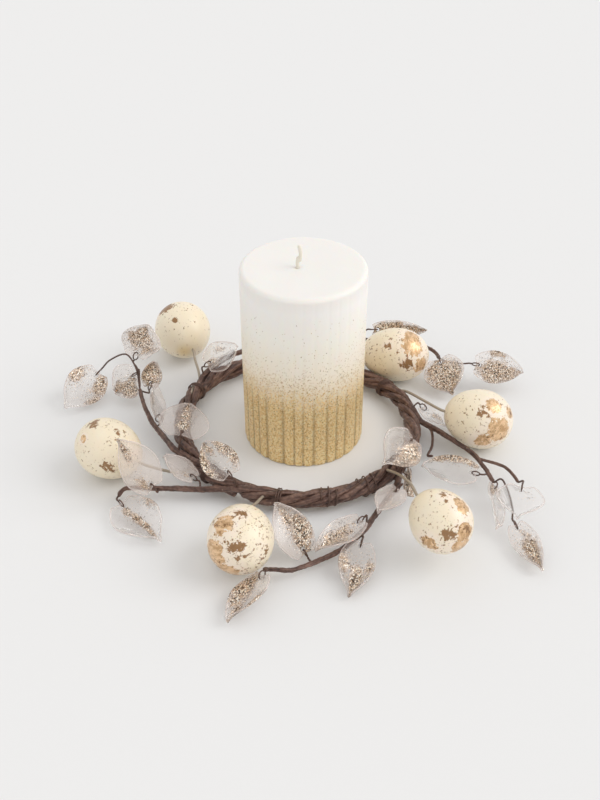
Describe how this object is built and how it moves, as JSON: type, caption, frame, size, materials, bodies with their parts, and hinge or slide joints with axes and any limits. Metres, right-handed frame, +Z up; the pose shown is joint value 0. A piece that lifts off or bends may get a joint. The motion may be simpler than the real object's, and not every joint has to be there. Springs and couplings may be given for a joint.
{
  "type": "unity candle with candle ring",
  "caption": "Fluted pillar candle standing in a ring of twisted paper-wrapped sprigs that carry speckled eggs and hanging clear acrylic leaves.",
  "frame": {"origin": "centre of the candle's base, on the surface that it stands on", "axes": "+Z up along the candle; the front of the wreath, where its longest sprig runs, is towards -Y; +X to the right"},
  "size_m": [0.3058, 0.2704, 0.1343],
  "materials": {
    "wax": "cream wax, gold glitter fading out from the base",
    "wick_cotton": "waxed cotton braid",
    "tin_plate": "tin plate",
    "paper_wrap": "wound dark brown paper tape, slightly waxed",
    "binding_wire": "thin brown lacquered wire",
    "egg_shell": "satin cream paint with copper foil flakes and brown specks",
    "egg_stem": "grey-beige coated wire",
    "leaf_acrylic": "clear tinted acrylic with champagne glitter"
  },
  "bodies": {
    "candle": {"candle_body": "wax", "wick": "wick_cotton", "wick_sustainer": "tin_plate"},
    "wreath": {"ring_hoop": "paper_wrap", "sprig_a_stem": "paper_wrap", "sprig_b_stem": "paper_wrap", "sprig_c_stem": "paper_wrap", "sprig_d_stem": "paper_wrap", "sprig_e_stem": "paper_wrap", "binding_wire_1": "binding_wire", "binding_wire_2": "binding_wire", "binding_wire_3": "binding_wire", "binding_wire_4": "binding_wire", "binding_wire_5": "binding_wire", "binding_wire_6": "binding_wire", "binding_wire_7": "binding_wire", "binding_wire_8": "binding_wire", "egg_1": "egg_shell", "egg_1_stem": "egg_stem", "egg_2": "egg_shell", "egg_2_stem": "egg_stem", "egg_3": "egg_shell", "egg_3_stem": "egg_stem", "egg_4": "egg_shell", "egg_4_stem": "egg_stem", "egg_5": "egg_shell", "egg_5_stem": "egg_stem", "egg_6": "egg_shell", "egg_6_stem": "egg_stem"},
    "leaf_a1": {"leaf_a1": "leaf_acrylic"},
    "leaf_a2": {"leaf_a2": "leaf_acrylic"},
    "leaf_a3": {"leaf_a3": "leaf_acrylic"},
    "leaf_a4": {"leaf_a4": "leaf_acrylic"},
    "leaf_a5": {"leaf_a5": "leaf_acrylic"},
    "leaf_a6": {"leaf_a6": "leaf_acrylic"},
    "leaf_b1": {"leaf_b1": "leaf_acrylic"},
    "leaf_b2": {"leaf_b2": "leaf_acrylic"},
    "leaf_b3": {"leaf_b3": "leaf_acrylic"},
    "leaf_b4": {"leaf_b4": "leaf_acrylic"},
    "leaf_c1": {"leaf_c1": "leaf_acrylic"},
    "leaf_c2": {"leaf_c2": "leaf_acrylic"},
    "leaf_c3": {"leaf_c3": "leaf_acrylic"},
    "leaf_c4": {"leaf_c4": "leaf_acrylic"},
    "leaf_c5": {"leaf_c5": "leaf_acrylic"},
    "leaf_c6": {"leaf_c6": "leaf_acrylic"},
    "leaf_c7": {"leaf_c7": "leaf_acrylic"},
    "leaf_d1": {"leaf_d1": "leaf_acrylic"},
    "leaf_d2": {"leaf_d2": "leaf_acrylic"},
    "leaf_d3": {"leaf_d3": "leaf_acrylic"},
    "leaf_d4": {"leaf_d4": "leaf_acrylic"},
    "leaf_d5": {"leaf_d5": "leaf_acrylic"},
    "leaf_e1": {"leaf_e1": "leaf_acrylic"},
    "leaf_e2": {"leaf_e2": "leaf_acrylic"},
    "leaf_e3": {"leaf_e3": "leaf_acrylic"},
    "leaf_e4": {"leaf_e4": "leaf_acrylic"}
  },
  "joints": [
    {"name": "wreath_lift", "type": "slide", "parent": "candle", "child": "wreath", "axis": [0, 0, 1], "range_m": [0, 0.16]},
    {"name": "leaf_a1_swing", "type": "hinge", "parent": "wreath", "child": "leaf_a1", "pos_m": [-0.111, 0.031, 0.021], "axis": [0.5417, -0.6428, -0.5417], "range_deg": [-25, 20]},
    {"name": "leaf_a2_swing", "type": "hinge", "parent": "wreath", "child": "leaf_a2", "pos_m": [-0.101, 0.026, 0.015], "axis": [-0.8142, -0.2823, 0.5074], "range_deg": [-25, 20]},
    {"name": "leaf_a3_swing", "type": "hinge", "parent": "wreath", "child": "leaf_a3", "pos_m": [-0.111, 0.042, 0.028], "axis": [-0.8309, 0.5402, -0.1331], "range_deg": [-25, 20]},
    {"name": "leaf_a4_swing", "type": "hinge", "parent": "wreath", "child": "leaf_a4", "pos_m": [-0.137, 0.04, 0.016], "axis": [0.7617, -0.346, -0.5478], "range_deg": [-25, 10]},
    {"name": "leaf_a5_swing", "type": "hinge", "parent": "wreath", "child": "leaf_a5", "pos_m": [-0.092, -0.004, 0.012], "axis": [-0.4228, -0.4222, 0.8019], "range_deg": [-25, 20]},
    {"name": "leaf_a6_swing", "type": "hinge", "parent": "wreath", "child": "leaf_a6", "pos_m": [-0.075, -0.029, 0.018], "axis": [-0.9819, 0.1212, 0.1455], "range_deg": [-25, 20]},
    {"name": "leaf_b1_swing", "type": "hinge", "parent": "wreath", "child": "leaf_b1", "pos_m": [-0.106, -0.078, 0.007], "axis": [0.7278, 0.6635, 0.1734], "range_deg": [-10, 0]},
    {"name": "leaf_b2_swing", "type": "hinge", "parent": "wreath", "child": "leaf_b2", "pos_m": [-0.088, -0.069, 0.012], "axis": [-0.6665, -0.691, -0.2798], "range_deg": [-25, 20]},
    {"name": "leaf_b3_swing", "type": "hinge", "parent": "wreath", "child": "leaf_b3", "pos_m": [-0.065, -0.061, 0.012], "axis": [-0.5539, -0.8284, -0.0832], "range_deg": [-25, 15]},
    {"name": "leaf_b4_swing", "type": "hinge", "parent": "wreath", "child": "leaf_b4", "pos_m": [-0.043, -0.066, 0.019], "axis": [-0.7725, -0.6136, -0.1637], "range_deg": [-25, 20]},
    {"name": "leaf_c1_swing", "type": "hinge", "parent": "wreath", "child": "leaf_c1", "pos_m": [0.001, -0.118, 0.007], "axis": [-0.8376, -0.5061, -0.2059], "range_deg": [-25, 20]},
    {"name": "leaf_c2_swing", "type": "hinge", "parent": "wreath", "child": "leaf_c2", "pos_m": [-0.022, -0.139, 0.012], "axis": [0.7305, -0.5957, 0.3339], "range_deg": [-25, 5]},
    {"name": "leaf_c3_swing", "type": "hinge", "parent": "wreath", "child": "leaf_c3", "pos_m": [0.032, -0.1, 0.015], "axis": [0.632, -0.7701, -0.0868], "range_deg": [-25, 5]},
    {"name": "leaf_c4_swing", "type": "hinge", "parent": "wreath", "child": "leaf_c4", "pos_m": [0.032, -0.113, 0.01], "axis": [0.9654, -0.1969, -0.1711], "range_deg": [-15, 0]},
    {"name": "leaf_c5_swing", "type": "hinge", "parent": "wreath", "child": "leaf_c5", "pos_m": [0.055, -0.073, 0.014], "axis": [0.8107, -0.5855, 0], "range_deg": [-25, 10]},
    {"name": "leaf_c6_swing", "type": "hinge", "parent": "wreath", "child": "leaf_c6", "pos_m": [0.061, -0.061, 0.017], "axis": [0.2405, -0.4555, 0.8572], "range_deg": [-10, 20]},
    {"name": "leaf_c7_swing", "type": "hinge", "parent": "wreath", "child": "leaf_c7", "pos_m": [0.066, -0.039, 0.024], "axis": [0.6279, -0.5286, -0.5713], "range_deg": [-10, 0]},
    {"name": "leaf_d1_swing", "type": "hinge", "parent": "wreath", "child": "leaf_d1", "pos_m": [0.103, -0.055, 0.01], "axis": [-0.2609, -0.903, -0.3414], "range_deg": [-15, 10]},
    {"name": "leaf_d2_swing", "type": "hinge", "parent": "wreath", "child": "leaf_d2", "pos_m": [0.112, -0.067, 0.011], "axis": [0.7112, 0.0433, -0.7017], "range_deg": [-10, 15]},
    {"name": "leaf_d3_swing", "type": "hinge", "parent": "wreath", "child": "leaf_d3", "pos_m": [0.126, -0.076, 0.018], "axis": [0.9648, -0.2631, 0], "range_deg": [-25, 5]},
    {"name": "leaf_d4_swing", "type": "hinge", "parent": "wreath", "child": "leaf_d4", "pos_m": [0.12, -0.098, 0.009], "axis": [0.9071, 0.2488, 0.3395], "range_deg": [-25, 5]},
    {"name": "leaf_d5_swing", "type": "hinge", "parent": "wreath", "child": "leaf_d5", "pos_m": [0.077, 0.006, 0.013], "axis": [0.6318, 0.7706, 0.0833], "range_deg": [0, 10]},
    {"name": "leaf_e1_swing", "type": "hinge", "parent": "wreath", "child": "leaf_e1", "pos_m": [0.092, 0.054, 0.017], "axis": [0.9172, 0.0856, 0.3891], "range_deg": [-20, 5]},
    {"name": "leaf_e2_swing", "type": "hinge", "parent": "wreath", "child": "leaf_e2", "pos_m": [0.116, 0.048, 0.017], "axis": [0.1787, 0.8012, 0.5711], "range_deg": [-25, 20]},
    {"name": "leaf_e3_swing", "type": "hinge", "parent": "wreath", "child": "leaf_e3", "pos_m": [0.049, 0.08, 0.024], "axis": [0.0135, 0.4998, 0.866], "range_deg": [0, 20]},
    {"name": "leaf_e4_swing", "type": "hinge", "parent": "wreath", "child": "leaf_e4", "pos_m": [-0.064, 0.044, 0.02], "axis": [-0.5405, 0.8051, 0.2443], "range_deg": [-25, 20]}
  ]
}
